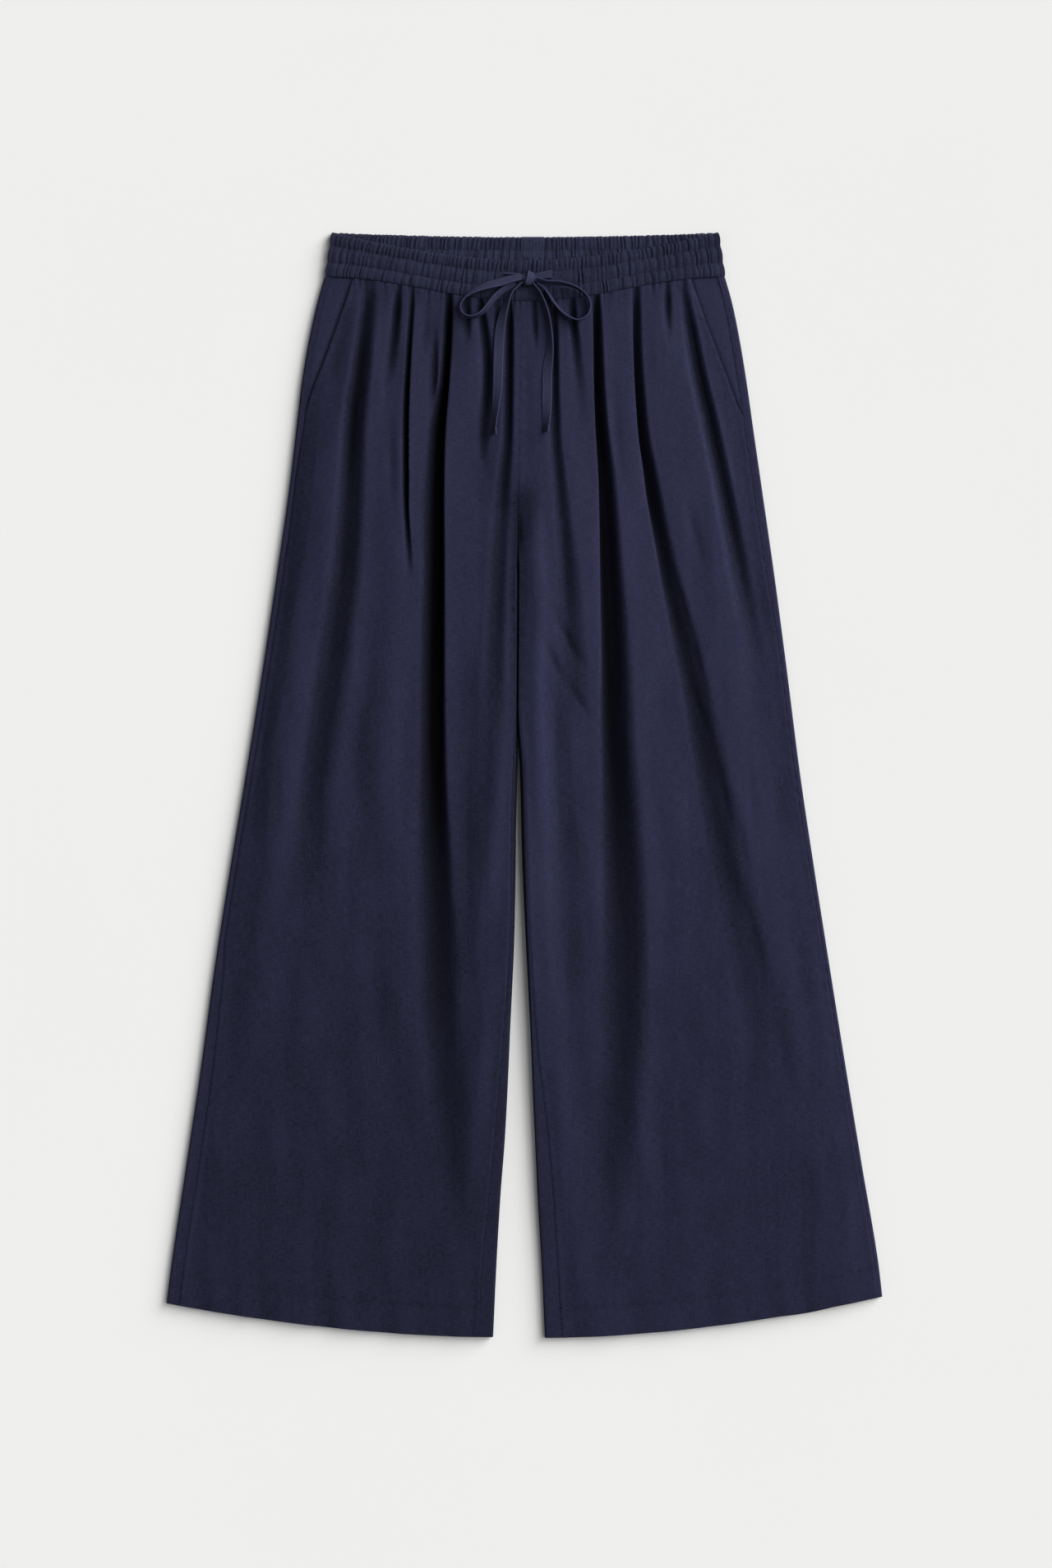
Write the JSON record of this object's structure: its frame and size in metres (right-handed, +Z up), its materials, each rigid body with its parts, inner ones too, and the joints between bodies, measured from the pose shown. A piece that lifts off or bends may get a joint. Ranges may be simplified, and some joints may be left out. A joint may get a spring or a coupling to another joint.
{
  "type": "wide-leg drawstring trousers",
  "caption": "Wide-leg linen trousers with a gathered elastic waist, slanted pockets and a drawstring tied in a bow, laid flat with the front up.",
  "frame": {"origin": "middle of the underside, where the garment lies on the floor", "axes": "+X across the waist to the viewer's right, +Y from the hem to the waist, +Z up out of the front of the garment"},
  "size_m": [0.6794, 1.0497, 0.0217],
  "materials": {
    "linen": "plain-woven linen, piece-dyed navy, matt with fine slubs",
    "gathered_linen": "the same linen gathered over elastic in three stitched channels",
    "linen_tape": "flat folded and stitched linen tape, a little smoother than the cloth"
  },
  "bodies": {
    "root": {"front_panel_left": "linen", "front_panel_right": "linen", "back_panel_left": "linen", "back_panel_right": "linen", "pocket_facing_left": "linen", "pocket_facing_right": "linen", "waistband_front": "gathered_linen", "waistband_back": "gathered_linen", "drawstring_knot": "linen_tape", "drawstring_loop_left": "linen_tape", "drawstring_loop_right": "linen_tape", "drawstring_tail_left": "linen_tape", "drawstring_tail_right": "linen_tape", "drawstring_lead_left": "linen_tape", "drawstring_lead_right": "linen_tape"}
  },
  "joints": []
}
